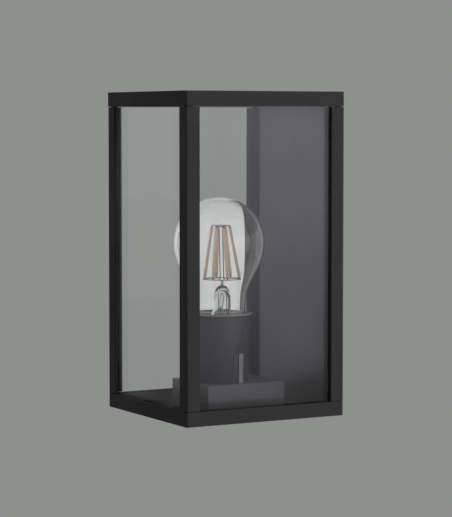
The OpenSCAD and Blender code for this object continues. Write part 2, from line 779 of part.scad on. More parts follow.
module roof_cap() {
  out = roof_overhang;
  color(black) difference() {
    translate([0, 0, roof_z]) linear_extrude(roof_h) rim_outline(out);
    translate([-half_w - out + sheet_t, -lantern_d - out + sheet_t, roof_z - 1])
      cube([lantern_w + 2 * out - 2 * sheet_t, lantern_d + out - 2 * sheet_t, roof_h + 1 - sheet_t]);
    translate([-half_w + post_w - 1, -sheet_t - 1, roof_z - 1])
      cube([lantern_w - 2 * post_w + 2, sheet_t + 2, pan_top + free_gap - roof_z + 1]);
    at_corners() translate([post_screw_in, post_screw_in, lantern_h]) flush_hole();
  }
}

// Foam strips under the roof, just clear of the panes' top edges
module roof_seals() {
  low = glass_top + free_gap;
  high = lantern_h - sheet_t - low;
  start = tab_reach + free_gap;
  width = glass_t + 0.6;
  color(soft_black) {
    translate([-half_w + start, -lantern_d + glass_in - 0.3, low])
      cube([lantern_w - 2 * start, width, high]);
    for (side = [-1, 1]) at_corner(side, false) translate([glass_in - 0.3, start, low])
      cube([width, lantern_d - 2 * start, high]);
  }
}

// Four flush screws through the roof into the posts' upper tabs
module roof_screws() {
  color(soft_black) at_corners() translate([post_screw_in, post_screw_in, lantern_h])
    flush_screw(lantern_h - tab_z + 0.2);
}

// ---- bulb ----

module bulb_contact() {
  color(steel) at_lamp() rotate_extrude() polygon([
    [0, contact_z], [2.5, contact_z], [4.2, contact_z + 0.4], [4.4, contact_z + 0.9],
    [2, contact_z + 0.9], [2, contact_z + 2.3], [0, contact_z + 2.3]]);
}

// Black glass cone between the contact and the cap
module bulb_insulator() {
  color(soft_black) at_lamp() rotate_extrude() polygon([
    [2.3, contact_z + 1.2], [5.2, contact_z + 1.2], [10.4, cap_z - 0.3], [10.4, cap_z + 1.2],
    [2.3, cap_z + 1.2]]);
}

// Nickel-plated cap with the rolled E27 thread
module bulb_cap() {
  low = cap_z + 2.2;
  high = cap_top - 5;
  wall = 0.35;
  inner = thread_r - thread_a - wall;
  color(steel) at_lamp() ring_solid(concat(
    [[10.7, 0, cap_z], [thread_r - thread_a, 0, cap_z + 1.3]],
    [for (z = ring_heights(low, high)) [thread_r, thread_a, z]],
    [[cap_rim_r, 0, high + 1.2], [cap_rim_r, 0, cap_top],
     [cap_rim_r - wall, 0, cap_top], [cap_rim_r - wall, 0, high + 1.4],
     [inner, 0, high], [inner, 0, cap_z + 1.5], [10.45, 0, cap_z + 0.4]]));
}

// Small driver board inside the cap
module bulb_driver() {
  color("seagreen") at_lamp() translate([-7, -0.5, cap_z + 3]) cube([14, 1, 13]);
  color(soft_black) at_lamp() {
    translate([-3, 0.5, cap_z + 5]) cube([6, 3, 5]);
    translate([2.5, 3.5, cap_z + 11]) rotate([90, 0, 0]) cylinder(h = 3.2, r = 2);
  }
}

// Clear bulb: neck, a smooth swell and a round top
function bulb_outline(wall) = concat(
  [[neck_in_r - wall, neck_z - 6.5], [neck_in_r - wall, neck_z - 3.4],
   [neck_r - 1.2 - wall, neck_z - 1.4], [neck_r - wall, neck_z]],
  [for (i = [0 : 10]) let (t = 1 - i / 10, k = bulb_r - wall) [
    bezier(neck_r + 0.4 - wall, neck_r + 0.4 - wall, k, k, 1 - t),
    bezier(curve_z, curve_z + 16, ball_z - 18, ball_z, 1 - t)]],
  [for (i = [1 : 11]) (bulb_r - wall) * [cos(7.5 * i), sin(7.5 * i)] + [0, ball_z]]);

module bulb_glass() {
  inner = bulb_outline(bulb_wall);
  color("white", 0.3) at_lamp() rotate_extrude() polygon(concat(
    bulb_outline(0), [[0, ball_z + bulb_r]], [[0, ball_z + bulb_r - bulb_wall]],
    reversed(inner)));
}

// Glass stem: a flare sealed in the neck, and a bell that carries the wires
module bulb_stem() {
  low = neck_z - 5.5;
  color("white", 0.4) at_lamp() rotate_extrude() polygon(concat(
    [[neck_in_r - bulb_wall - 0.2, low], [8, low + 1.6], [stem_r + 0.4, low + 4],
     [stem_r, low + 8], [stem_r - 0.2, stem_top - 7]],
    [for (i = [1 : 5]) [0.4 + (stem_r - 0.6) * cos(18 * i), stem_top - 7 + 7 * sin(18 * i)]],
    [[0, stem_top], [0, stem_top - 2.5]],
    [[2.6, stem_top - 5], [stem_r - 1.1, stem_top - 9], [stem_r - 1, low + 8],
     [stem_r - 0.4, low + 3.4], [7.6, low + 0.7], [neck_in_r - bulb_wall - 0.2, low - 0.9]]));
}

// Two wires from the cap through the stem to the crown, each a separate solid
module bulb_wires() {
  color(steel) at_lamp() for (x = [-wire_gap, wire_gap])
    translate([x, 0, stem_top - 0.1]) cylinder(h = cage_top - stem_top - 0.5, r = 0.35, $fn = 16);
}

// Crown that joins the filaments' upper ends
module filament_crown() {
  color(steel) at_lamp() {
    translate([0, 0, cage_top - 0.6]) cylinder(h = 0.6, r = 2.2);
    for (i = [0 : filament_count - 1]) rotate(filament_start + 360 * i / filament_count)
      translate([1.5, 0, cage_top - 0.3]) rotate([0, 90, 0])
        cylinder(h = cage_r - 2, r = 0.3, $fn = 16);
  }
}

// Wire ring that joins their lower ends, on two arms from the wires
module filament_ring() {
  color(steel) at_lamp() {
    translate([0, 0, cage_low - 0.5]) rotate_extrude() translate([cage_low_r, 0])
      circle(r = 0.35, $fn = 16);
    for (side = [0, 180]) rotate(side) translate([wire_gap + 0.3, 0, cage_low - 0.5])
      rotate([0, 90, 0]) cylinder(h = cage_low_r - wire_gap - 0.4, r = 0.3, $fn = 16);
  }
}

// Flat filaments leaning out from the crown to the ring
module filaments() {
  color("orange") at_lamp() for (i = [0 : filament_count - 1])
    rotate(filament_start + 360 * i / filament_count)
      translate([cage_r, 0, cage_top - 0.8]) rotate([0, -filament_tilt, 0])
        translate([-filament_t / 2, -filament_w / 2, -filament_l + 1.2])
          cube([filament_t, filament_w, filament_l - 1.4]);
}

hang() mounting_plate();
hang() cable_grommet();
hang() back_pan();
hang() pan_rivets();
hang() head_screws();
hang() bottom_tray();
hang() post_front_left();
hang() post_front_right();
hang() post_rear_left();
hang() post_rear_right();
hang() post_screws();
hang() glass_front();
hang() glass_left();
hang() glass_right();
hang() glass_channels();
hang() glazing_tapes();
hang() lamp_bracket();
hang() bracket_screws();
hang() terminal_block();
hang() terminal_inserts();
hang() terminal_screws();
hang() terminal_fixing();
hang() earth_screw();
hang() earth_tag();
hang() lead_live();
hang() lead_neutral();
hang() lead_earth();
hang() lampholder_shell();
hang() lampholder_collar();
hang() lampholder_core();
hang() lampholder_screws();
hang() thread_sleeve();
hang() centre_contact();
hang() side_contact();
hang() roof_cap();
hang() roof_seals();
hang() roof_screws();
hang() bulb_contact();
hang() bulb_insulator();
hang() bulb_cap();
hang() bulb_driver();
hang() bulb_glass();
hang() bulb_stem();
hang() bulb_wires();
hang() filament_crown();
hang() filament_ring();
hang() filaments();
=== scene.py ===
import math

import bmesh
import bpy
from mathutils import Matrix, Vector


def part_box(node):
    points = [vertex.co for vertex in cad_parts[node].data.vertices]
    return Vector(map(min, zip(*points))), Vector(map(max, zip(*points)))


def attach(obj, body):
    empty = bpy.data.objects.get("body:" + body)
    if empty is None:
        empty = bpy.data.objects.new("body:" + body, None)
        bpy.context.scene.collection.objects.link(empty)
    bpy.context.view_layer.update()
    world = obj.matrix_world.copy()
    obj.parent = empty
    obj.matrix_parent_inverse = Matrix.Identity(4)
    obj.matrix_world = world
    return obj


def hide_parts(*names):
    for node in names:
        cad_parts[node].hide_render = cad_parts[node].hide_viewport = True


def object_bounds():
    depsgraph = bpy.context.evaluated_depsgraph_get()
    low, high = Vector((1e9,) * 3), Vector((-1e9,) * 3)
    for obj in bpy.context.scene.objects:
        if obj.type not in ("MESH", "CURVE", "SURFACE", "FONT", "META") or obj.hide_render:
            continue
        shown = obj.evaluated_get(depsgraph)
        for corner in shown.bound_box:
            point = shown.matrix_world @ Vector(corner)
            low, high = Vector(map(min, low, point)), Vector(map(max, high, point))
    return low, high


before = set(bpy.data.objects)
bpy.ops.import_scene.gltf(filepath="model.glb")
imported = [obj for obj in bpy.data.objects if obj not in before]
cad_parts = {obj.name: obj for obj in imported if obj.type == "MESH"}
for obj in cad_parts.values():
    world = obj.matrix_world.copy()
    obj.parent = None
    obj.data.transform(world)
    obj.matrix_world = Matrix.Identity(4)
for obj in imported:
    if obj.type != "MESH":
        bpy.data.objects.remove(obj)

cad_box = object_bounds()
cad_low, cad_high = cad_box

# ---- Camera ----
# The lantern is seen from its front right corner, a little below the top of its roof.
# A long lens from well back keeps the posts upright.
camera_azimuth = math.radians(61.007)
camera_elevation = math.radians(3.848)
camera_distance = 1.4188
camera_side_step = 0.00124
camera_rise = -0.00437

cam = bpy.data.objects.new("camera", bpy.data.cameras.new("camera"))
bpy.context.scene.collection.objects.link(cam)
cam.data.lens = 143.35
cam.data.sensor_width = 36
cam.data.clip_start = 0.05
cam.data.clip_end = 60
away = Vector((math.sin(camera_azimuth) * math.cos(camera_elevation),
               -math.cos(camera_azimuth) * math.cos(camera_elevation),
               math.sin(camera_elevation)))
sideways = Vector((math.cos(camera_azimuth), math.sin(camera_azimuth), 0))
upwards = away.cross(sideways)
middle = (cad_low + cad_high) / 2
eye = middle + camera_side_step * sideways + camera_rise * upwards + camera_distance * away
cam.matrix_world = Matrix.Translation(eye) @ Matrix((sideways, upwards, away)).transposed().to_4x4()
bpy.context.scene.camera = cam

# ---- Studio ----
# A plain grey backdrop all round, with a pale floor below. Brighter paper to the left, right and
# rear lights the lantern and is seen only in its reflections, and the bulb's glass shows a lighter
# paper behind it. One large soft lamp lights the right-hand side.
bpy.context.scene.view_settings.view_transform = "Standard"
backdrop_grey = (0.2705, 0.2788, 0.2705)
left_azimuth, left_light = -61, 0.66
right_azimuth, right_light = 128, 1.42
rear_azimuth, rear_light = 168, 2.2
behind_glass = (0.765, 0.755, 0.765)
lamp_distance = 2.4
lamp_rise = 0.55
lamp_watts = 102
floor_drop = 1.6
floor_radius = 6


def add(nodes_of, kind, **inputs):
    """Adds a shader node, and joins or sets its inputs by their names."""
    tree = nodes_of.node_tree
    made = tree.nodes.new(kind)
    for name, value in inputs.items():
        place = int(name[1:]) if name[0] == "i" and name[1:].isdigit() else name.replace("_", " ")
        if isinstance(value, bpy.types.NodeSocket):
            tree.links.new(value, made.inputs[place])
        else:
            made.inputs[place].default_value = value
    return made


def maths(nodes_of, job, a, b=0.0):
    made = add(nodes_of, "ShaderNodeMath", i0=a, i1=b)
    made.operation = job
    return made.outputs[0]


def between(nodes_of, value, low, high, to_low=0.0, to_high=1.0):
    """Eases a value from one range into another."""
    made = add(nodes_of, "ShaderNodeMapRange", Value=value, From_Min=low, From_Max=high,
               To_Min=to_low, To_Max=to_high)
    made.interpolation_type = "SMOOTHSTEP"
    return made.outputs["Result"]


def facing(nodes_of, direction, azimuth):
    """How far a direction points to an azimuth round the lantern, from -1 to 1."""
    a = math.radians(azimuth)
    made = add(nodes_of, "ShaderNodeVectorMath", i0=direction, i1=(math.sin(a), -math.cos(a), 0))
    made.operation = "DOT_PRODUCT"
    return made.outputs["Value"]


tent = bpy.data.worlds.new("studio tent")
tent.use_nodes = True
bpy.context.scene.world = tent
direction = add(tent, "ShaderNodeTexCoord").outputs["Generated"]
height = add(tent, "ShaderNodeSeparateXYZ", Vector=direction).outputs["Z"]
left_side = between(tent, facing(tent, direction, left_azimuth), 0.80, 0.97, 0, left_light)
left_side = maths(tent, "MULTIPLY", left_side, between(tent, height, -0.28, 0.03, 0.4, 1))
right_side = between(tent, facing(tent, direction, right_azimuth), 0.5, 0.95, 0, right_light)
right_side = maths(tent, "MULTIPLY", right_side, between(tent, height, -0.25, 0.06))
right_side = maths(tent, "MULTIPLY", right_side, between(tent, height, 0.08, 0.5, 1, 0))
rear_side = between(tent, facing(tent, direction, rear_azimuth), 0.86, 0.97, 0, rear_light)
rear_side = maths(tent, "MULTIPLY", rear_side, between(tent, height, 0.25, 0.6, 1, 0))
tent_glow = maths(tent, "MAXIMUM", maths(tent, "MAXIMUM", left_side, right_side), rear_side)
glow_colour = add(tent, "ShaderNodeCombineColor", Red=tent_glow,
                  Green=maths(tent, "MULTIPLY", tent_glow, 0.98),
                  Blue=maths(tent, "MULTIPLY", tent_glow, 1.05))
lit = add(tent, "ShaderNodeVectorMath", i0=glow_colour.outputs["Color"], i1=backdrop_grey)
lit.operation = "MAXIMUM"
ray_kind = add(tent, "ShaderNodeLightPath")
paper = add(tent, "ShaderNodeMix", i0=ray_kind.outputs["Is Transmission Ray"])
paper.data_type = "RGBA"
tent.node_tree.links.new(lit.outputs["Vector"], paper.inputs[6])
paper.inputs[7].default_value = (*behind_glass, 1)
seen = add(tent, "ShaderNodeMix", i0=ray_kind.outputs["Is Camera Ray"])
seen.data_type = "RGBA"
tent.node_tree.links.new(paper.outputs[2], seen.inputs[6])
seen.inputs[7].default_value = (*backdrop_grey, 1)
tent.node_tree.links.new(seen.outputs[2], tent.node_tree.nodes["Background"].inputs["Color"])

lamp = bpy.data.objects.new("soft_lamp", bpy.data.lights.new("soft_lamp", "AREA"))
bpy.context.scene.collection.objects.link(lamp)
lamp.data.shape = "RECTANGLE"
lamp.data.size = 2.2
lamp.data.size_y = 1.6
lamp.data.energy = lamp_watts
lamp_azimuth = math.radians(112)
lamp_from = Vector((math.sin(lamp_azimuth), -math.cos(lamp_azimuth), lamp_rise)).normalized()
lamp.location = middle + lamp_distance * lamp_from
lamp.rotation_euler = lamp_from.to_track_quat("Z", "Y").to_euler()
lamp.visible_camera = False
lamp.visible_glossy = False
lamp.visible_transmission = False

floor_mesh = bmesh.new()
bmesh.ops.create_circle(floor_mesh, cap_ends=True, segments=96, radius=floor_radius)
floor = bpy.data.objects.new("floor", bpy.data.meshes.new("floor"))
floor_mesh.to_mesh(floor.data)
floor_mesh.free()
floor.location = (middle.x, middle.y, cad_low.z - floor_drop)
bpy.context.scene.collection.objects.link(floor)
floor_paint = bpy.data.materials.new("pale floor")
floor_paint.use_nodes = True
floor_speckle = add(floor_paint, "ShaderNodeTexNoise", Scale=6.0, Detail=4.0).outputs["Fac"]
floor_shade = between(floor_paint, floor_speckle, 0.2, 0.8, 0.52, 0.56)
floor_colour = add(floor_paint, "ShaderNodeCombineColor", Red=floor_shade, Green=floor_shade,
                   Blue=floor_shade)
floor_shader = floor_paint.node_tree.nodes["Principled BSDF"]
floor_paint.node_tree.links.new(floor_colour.outputs["Color"], floor_shader.inputs["Base Color"])
floor_shader.inputs["Roughness"].default_value = 0.7
floor.data.materials.append(floor_paint)

# ---- Mounting plate ----
# A zinc-plated steel plate screwed to the wall through two slots. Its top fold is the hook the
# lantern hangs on, and its lower folds take the two head screws.
weld_gap = 0.000002


def start_finish(name, colour, roughness, metal=0.0):
    """A new material and its shader, with one colour and roughness to build on."""
    finish = bpy.data.materials.new(name)
    finish.use_nodes = True
    shader = finish.node_tree.nodes["Principled BSDF"]
    shader.inputs["Base Color"].default_value = (*colour, 1)
    shader.inputs["Roughness"].default_value = roughness
    shader.inputs["Metallic"].default_value = metal
    return finish, shader


def mottle(finish, scale, detail=3.0, stretch=(1, 1, 1), rough=0.5):
    """Cloudy variation in the part's own metres, drawn out along an axis by stretch."""
    place = add(finish, "ShaderNodeTexCoord").outputs["Object"]
    drawn = add(finish, "ShaderNodeMapping", Vector=place, Scale=stretch).outputs["Vector"]
    cloud = add(finish, "ShaderNodeTexNoise", Vector=drawn, Scale=scale, Detail=detail,
                Roughness=rough)
    return cloud.outputs["Fac"]


def shade(finish, shader, amount, dark, light):
    """Colours a finish between two shades."""
    mix = add(finish, "ShaderNodeMix")
    mix.data_type = "RGBA"
    finish.node_tree.links.new(amount, mix.inputs[0])
    mix.inputs[6].default_value = (*dark, 1)
    mix.inputs[7].default_value = (*light, 1)
    finish.node_tree.links.new(mix.outputs[2], shader.inputs["Base Color"])
    return mix.outputs[2]


def sheen(finish, shader, amount, low, high):
    """Lets the roughness vary between two values."""
    finish.node_tree.links.new(between(finish, amount, 0.25, 0.75, low, high),
                               shader.inputs["Roughness"])


def relief(finish, shader, height, depth, strength=1.0):
    """Turns a height into a bumpy surface that is depth metres deep."""
    bump = add(finish, "ShaderNodeBump", Height=height, Distance=depth, Strength=strength)
    finish.node_tree.links.new(bump.outputs["Normal"], shader.inputs["Normal"])


def dress(finish, edge, *names):
    """Gives CAD nodes their finish, and rounds their edges by edge metres."""
    for name in names:
        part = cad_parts[name]
        if not part.material_slots:
            part.data.materials.append(finish)
        for place in part.material_slots:
            place.material = finish
        if edge:
            weld = part.modifiers.new("join", "WELD")
            weld.merge_threshold = weld_gap
            rounding = part.modifiers.new("edges", "BEVEL")
            rounding.width = edge
            rounding.segments = 2
            rounding.limit_method = "ANGLE"
            rounding.angle_limit = math.radians(40)
            rounding.harden_normals = True


def plating(name, colour, roughness=0.32):
    """Rolled metal under a thin plated coat: a faint grain and a slightly cloudy shine."""
    finish, shader = start_finish(name, colour, roughness, metal=1.0)
    grain = mottle(finish, 900, 2.0, (1, 1, 0.06))
    cloud = mottle(finish, 160, 3.0)
    shade(finish, shader, cloud, [c * 0.94 for c in colour], [min(1, c * 1.04) for c in colour])
    sheen(finish, shader, cloud, roughness - 0.02, roughness + 0.04)
    relief(finish, shader, grain, 0.000004, 0.4)
    return finish


zinc = plating("zinc plate", (0.55, 0.56, 0.58), 0.42)
dress(zinc, 0.0002, "mounting_plate")

# ---- Back pan ----
# A black pan folded from thin sheet, with round long bends. It closes the back of the lantern
# and its ears and foot are riveted to the rear posts and to the tray.


def black_coat(name, colour, roughness, grain_scale, grain_depth, shine):
    """Baked powder coat: a fine orange-peel skin, a little dust and a slow change of shine."""
    finish, shader = start_finish(name, colour, roughness)
    skin = mottle(finish, grain_scale, 2.0)
    cloud = mottle(finish, 18, 5.0)
    dust = mottle(finish, 700, 3.0, rough=0.7)
    specks = between(finish, dust, 0.62, 0.8, 0, 0.35)
    amount = maths(finish, "ADD", maths(finish, "MULTIPLY", cloud, 0.8), specks)
    shade(finish, shader, amount, [c * 0.78 for c in colour], [c * 1.25 for c in colour])
    sheen(finish, shader, cloud, roughness - 0.06, roughness + 0.08)
    relief(finish, shader, skin, grain_depth, 0.7)
    shader.inputs["Specular IOR Level"].default_value = shine
    return finish


pan_coat = black_coat("smooth black coat", (0.026, 0.0245, 0.030), 0.34, 300, 0.000003, 0.72)
dress(pan_coat, 0.00015, "back_pan")
dress(zinc, 0.0001, "pan_rivets")

# ---- Tray, posts and roof ----
# The frame is folded from 1.5 mm steel and powder coated. The posts stand on the tray and the
# roof sits on them. Black flush screws hold the tray, and four more go through the roof.
powder = black_coat("black powder coat", (0.0175, 0.0174, 0.0182), 0.58, 1500, 0.00003, 0.12)
dress(powder, 0.0003, "bottom_tray", "roof_cap")
dress(powder, 0.00025, "post_front_left", "post_front_right", "post_rear_left", "post_rear_right")

oxide, oxide_shader = start_finish("black oxide", (0.016, 0.016, 0.017), 0.38, metal=0.6)
oxide_cloud = mottle(oxide, 500, 3.0)
shade(oxide, oxide_shader, oxide_cloud, (0.010, 0.010, 0.011), (0.035, 0.034, 0.033))
sheen(oxide, oxide_shader, oxide_cloud, 0.28, 0.5)
relief(oxide, oxide_shader, mottle(oxide, 2500, 1.0), 0.00001, 0.4)
dress(oxide, 0.0001, "head_screws", "post_screws", "bracket_screws", "terminal_fixing",
      "roof_screws")

# ---- Panes ----
# Three panes of clear 3 mm float glass with ground edges. They stand in black rubber channels
# on the posts' feet, lean on strips of glazing tape and end just under the roof's foam. The right
# pane carries a slight grey film and mirrors the room more.


def clear_sheet(name, tint, shine, roughness):
    """Glass that lets light straight through and mirrors a little of the room."""
    finish = bpy.data.materials.new(name)
    finish.use_nodes = True
    tree = finish.node_tree
    tree.nodes.remove(tree.nodes["Principled BSDF"])
    inside = add(finish, "ShaderNodeNewGeometry").outputs["Backfacing"]
    outside = maths(finish, "SUBTRACT", 1.0, inside)
    index = add(finish, "ShaderNodeMix", i0=outside, i2=1 / 1.5, i3=1.5).outputs[0]
    mirror = add(finish, "ShaderNodeFresnel", IOR=index).outputs[0]
    streaks = between(finish, mottle(finish, 35, 5.0, (1, 1, 0.4)), 0.3, 0.75, 0.85, 1.1)
    amount = maths(finish, "MULTIPLY", maths(finish, "MULTIPLY", mirror, shine), streaks)
    clear = add(finish, "ShaderNodeBsdfTransparent", Color=(*tint, 1))
    gloss = add(finish, "ShaderNodeBsdfAnisotropic", Color=(1, 1, 1, 1), Roughness=roughness)
    mix = add(finish, "ShaderNodeMixShader", i0=amount, i1=clear.outputs[0], i2=gloss.outputs[0])
    tree.links.new(mix.outputs[0], tree.nodes["Material Output"].inputs["Surface"])
    return finish


pane_glass = clear_sheet("clear float glass", (0.982, 0.986, 0.982), 0.38, 0.03)
filmed_glass = clear_sheet("float glass with a grey film", (0.90, 0.905, 0.90), 0.95, 0.03)
bpy.context.scene.cycles.transparent_max_bounces = 32
bpy.context.scene.cycles.caustics_reflective = False
dress(pane_glass, 0, "glass_front", "glass_left")
dress(filmed_glass, 0, "glass_right")

rubber, rubber_shader = start_finish("black rubber", (0.022, 0.022, 0.022), 0.72)
rubber_cloud = mottle(rubber, 160, 4.0)
shade(rubber, rubber_shader, rubber_cloud, (0.015, 0.015, 0.015), (0.034, 0.033, 0.032))
sheen(rubber, rubber_shader, rubber_cloud, 0.6, 0.82)
relief(rubber, rubber_shader, mottle(rubber, 3000, 2.0), 0.00002, 0.5)
dress(rubber, 0.0002, "glass_channels", "glazing_tapes", "cable_grommet")

foam, foam_shader = start_finish("closed-cell foam", (0.02, 0.02, 0.02), 0.9)
cells = add(foam, "ShaderNodeTexVoronoi", Scale=2200.0,
            Vector=add(foam, "ShaderNodeTexCoord").outputs["Object"]).outputs["Distance"]
shade(foam, foam_shader, between(foam, cells, 0.1, 0.8),
      (0.008, 0.008, 0.008), (0.04, 0.04, 0.04))
relief(foam, foam_shader, cells, 0.0001, 0.8)
dress(foam, 0.0003, "roof_seals")

# ---- Bracket and wiring ----
# The lampholder's bracket is folded from sheet and coated satin black, with painted shade darkening
# all of it below a band along its top.
# Under it a white three-way block joins the supply to the brown, blue and striped leads, and a
# brass screw earths the tray through a crimped ring tag.
lit_band = 0.012
painted_shade_colour = (0.012, 0.012, 0.013)
bracket_coat = black_coat("satin black coat", (0.050, 0.048, 0.054), 0.32, 300, 0.000003, 0.6)
bracket_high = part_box("lamp_bracket")[1]
painted_shade_below = bracket_high.z - lit_band
bracket_rise = add(bracket_coat, "ShaderNodeSeparateXYZ",
                   Vector=add(bracket_coat, "ShaderNodeTexCoord").outputs["Object"]).outputs["Z"]
bracket_shader = bracket_coat.node_tree.nodes["Principled BSDF"]
# Painted shade: below the lit band at its top, the bracket takes a darker colour.
painted_shade_mix = add(bracket_coat, "ShaderNodeMix", i0=between(
    bracket_coat, bracket_rise, painted_shade_below - 0.001, painted_shade_below + 0.002))
painted_shade_mix.data_type = "RGBA"
painted_shade_mix.inputs[6].default_value = (*painted_shade_colour, 1)
bracket_coat.node_tree.links.new(bracket_shader.inputs["Base Color"].links[0].from_socket,
                                 painted_shade_mix.inputs[7])
bracket_coat.node_tree.links.new(painted_shade_mix.outputs[2], bracket_shader.inputs["Base Color"])
dress(bracket_coat, 0.00025, "lamp_bracket")
dress(zinc, 0.0001, "earth_tag", "terminal_screws", "lampholder_screws")


def moulding(name, colour, roughness, shine=0.5):
    """Moulded plastic: a faint skin, slow change of shade and softer shine in patches."""
    finish, shader = start_finish(name, colour, roughness)
    cloud = mottle(finish, 45, 4.0)
    shade(finish, shader, cloud, [c * 0.88 for c in colour], [min(1, c * 1.08) for c in colour])
    sheen(finish, shader, cloud, roughness - 0.06, roughness + 0.08)
    relief(finish, shader, mottle(finish, 90, 3.0), 0.00001, 0.4)
    shader.inputs["Specular IOR Level"].default_value = shine
    return finish


white_nylon = moulding("white polyamide", (0.72, 0.72, 0.68), 0.42)
dress(white_nylon, 0.0003, "terminal_block")
brass = plating("plain brass", (0.72, 0.52, 0.22), 0.3)
dress(brass, 0.0001, "terminal_inserts", "earth_screw", "centre_contact", "side_contact")

brown_sleeve = moulding("brown insulation", (0.16, 0.07, 0.03), 0.36)
blue_sleeve = moulding("blue insulation", (0.05, 0.16, 0.40), 0.36)
green_sleeve = moulding("green and yellow insulation", (0.10, 0.34, 0.06), 0.36)
green_shader = green_sleeve.node_tree.nodes["Principled BSDF"]
spiral = add(green_sleeve, "ShaderNodeTexWave", Scale=95.0, Distortion=0.0,
             Vector=add(green_sleeve, "ShaderNodeTexCoord").outputs["Object"])
spiral.bands_direction = "DIAGONAL"
shade(green_sleeve, green_shader, between(green_sleeve, spiral.outputs["Fac"], 0.45, 0.55),
      (0.08, 0.30, 0.05), (0.78, 0.66, 0.06))
for sleeve, lead_name in ((brown_sleeve, "lead_live"), (blue_sleeve, "lead_neutral"),
                          (green_sleeve, "lead_earth")):
    dress(sleeve, 0, lead_name)
    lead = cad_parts[lead_name]
    lead.modifiers.new("join", "WELD").merge_threshold = weld_gap
    smoothing = lead.modifiers.new("round", "SUBSURF")
    smoothing.levels = smoothing.render_levels = 1

# ---- Lampholder ----
# A black thermoset shell with a release tongue and a grip rib, and a collar on top whose skirt
# holds down a porcelain core. The core carries the pressed brass sleeve and two contact strips.
holder_black = moulding("black thermoset", (0.018, 0.017, 0.020), 0.36, 0.34)
dress(holder_black, 0.0002, "lampholder_shell", "lampholder_collar")
holder_low, holder_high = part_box("lampholder_core")
holder_middle = (holder_low + holder_high) / 2
proud_from = 0.0203


def paint_proud_highlight(finish, colour, middle, radius):
    """Paints a highlight: lightens what stands proud of a radius round an upright axis, where light
    catches it.
    """
    place = add(finish, "ShaderNodeTexCoord").outputs["Object"]
    flat = add(finish, "ShaderNodeVectorMath", i0=place, i1=(middle.x, middle.y, 0))
    flat.operation = "SUBTRACT"
    level = add(finish, "ShaderNodeVectorMath", i0=flat.outputs["Vector"], i1=(1, 1, 0))
    level.operation = "MULTIPLY"
    length = add(finish, "ShaderNodeVectorMath", i0=level.outputs["Vector"])
    length.operation = "LENGTH"
    highlight_mask = between(finish, length.outputs["Value"], radius, radius + 0.0004)
    shader = finish.node_tree.nodes["Principled BSDF"]
    body = shader.inputs["Base Color"].links[0].from_socket
    painted_highlight = add(finish, "ShaderNodeMix")
    painted_highlight.data_type = "RGBA"
    finish.node_tree.links.new(highlight_mask, painted_highlight.inputs[0])
    finish.node_tree.links.new(body, painted_highlight.inputs[6])
    painted_highlight.inputs[7].default_value = (*colour, 1)
    finish.node_tree.links.new(painted_highlight.outputs[2], shader.inputs["Base Color"])


# Painted highlight: the tongue, grip rib and collar rim standing proud of the shell are coloured
# lighter.
paint_proud_highlight(holder_black, (0.12, 0.117, 0.125), holder_middle, proud_from)
porcelain = moulding("porcelain", (0.78, 0.76, 0.70), 0.55)
dress(porcelain, 0.0002, "lampholder_core")
dress(brass, 0, "thread_sleeve")

# ---- Bulb cap ----
# The nickel-plated cap is rolled thin, with a screw thread of 3.629 mm a turn. A black glass cone
# holds the soldered contact at its tip, and a small driver board stands inside it.
lamp_low, lamp_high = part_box("bulb_glass")
lamp_axis = Vector(((lamp_low.x + lamp_high.x) / 2, (lamp_low.y + lamp_high.y) / 2, 0))
tip_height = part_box("bulb_contact")[0].z
cap_low, cap_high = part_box("bulb_cap")
thread_pitch = 0.003629
thread_radius = 0.01265
thread_wave = 0.00045
cap_wall = 0.00035


def soften(part, angle=35):
    """Shades a made piece smoothly, with its sharp edges kept."""
    part.data.shade_smooth()
    part.data.set_sharp_from_angle(angle=math.radians(angle))


def place_piece(name, mesh, finish, body, slot, *stands_for):
    """Turns a finished bmesh into a named piece that rides on a body."""
    bmesh.ops.remove_doubles(mesh, verts=mesh.verts, dist=0.0000005)
    bmesh.ops.recalc_face_normals(mesh, faces=mesh.faces)
    part = bpy.data.objects.new(name, bpy.data.meshes.new(name))
    mesh.to_mesh(part.data)
    mesh.free()
    bpy.context.scene.collection.objects.link(part)
    part.data.materials.append(finish)
    soften(part)
    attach(part, body)
    if stands_for:
        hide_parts(*stands_for)
    return part


def turned(mesh, outline, centre, columns=96, wave=None):
    """Turns a closed outline of (radius, height) points about an upright axis.
    A third number in a point waves its radius along the screw thread."""
    rings = []
    for point in outline:
        radius, z = point[0], point[1]
        depth = point[2] if len(point) > 2 else 0
        count = columns if radius > 0.0000001 else 1
        ring = []
        for i in range(count):
            t = 2 * math.pi * i / columns
            r = radius + depth * math.cos(t - 2 * math.pi * z / thread_pitch)
            ring.append(mesh.verts.new((centre.x + r * math.cos(t), centre.y + r * math.sin(t), z)))
        rings.append(ring)
    for low, high in zip(rings, rings[1:] + rings[:1]):
        if len(low) == 1 and len(high) == 1:
            continue
        for i in range(columns):
            j = (i + 1) % columns
            corners = [low[i % len(low)], low[j % len(low)],
                       high[j % len(high)], high[i % len(high)]]
            mesh.faces.new(list(dict.fromkeys(corners)))


def thread_steps(low, high):
    """Heights up a thread, 20 to a turn."""
    count = math.ceil((high - low) / thread_pitch * 20)
    return [low + (high - low) * i / count for i in range(count + 1)]


